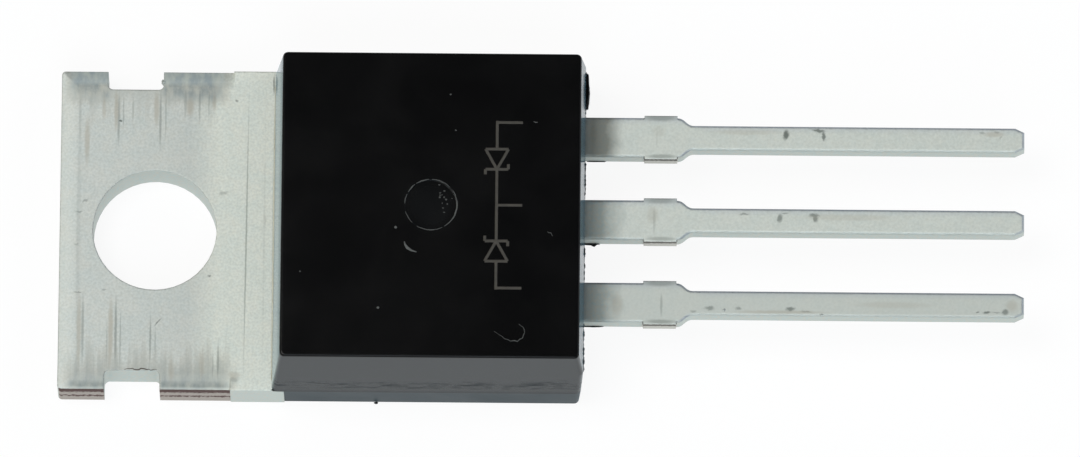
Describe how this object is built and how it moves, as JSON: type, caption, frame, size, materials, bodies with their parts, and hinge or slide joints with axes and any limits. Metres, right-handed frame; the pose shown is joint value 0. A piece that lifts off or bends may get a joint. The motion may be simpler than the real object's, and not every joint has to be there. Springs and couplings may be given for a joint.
{
  "type": "schottky diode",
  "caption": "Dual rectifier diode in a moulded power package with a drilled metal tab and straight leads.",
  "frame": {"origin": "centre of the mounting hole, on the flat back of the tab", "axes": "+X from the mounting hole towards the lead tips, +Y across the leads, +Z out of the front face of the moulded body"},
  "size_m": [0.0286, 0.0098, 0.0044],
  "materials": {
    "moulding_epoxy": "satin moulded epoxy",
    "tinned_copper": "matte tin plating on copper",
    "silicon": "polished",
    "soft_solder": "satin",
    "bond_aluminium": "bright rolled ribbon"
  },
  "bodies": {
    "root": {"mould_body": "moulding_epoxy", "header": "tinned_copper", "anode_lead_1": "tinned_copper", "anode_lead_2": "tinned_copper", "die_1": "silicon", "die_2": "silicon", "die_solder_1": "soft_solder", "die_solder_2": "soft_solder", "bond_ribbon_1a": "bond_aluminium", "bond_ribbon_1b": "bond_aluminium", "bond_ribbon_2a": "bond_aluminium", "bond_ribbon_2b": "bond_aluminium"}
  },
  "joints": []
}
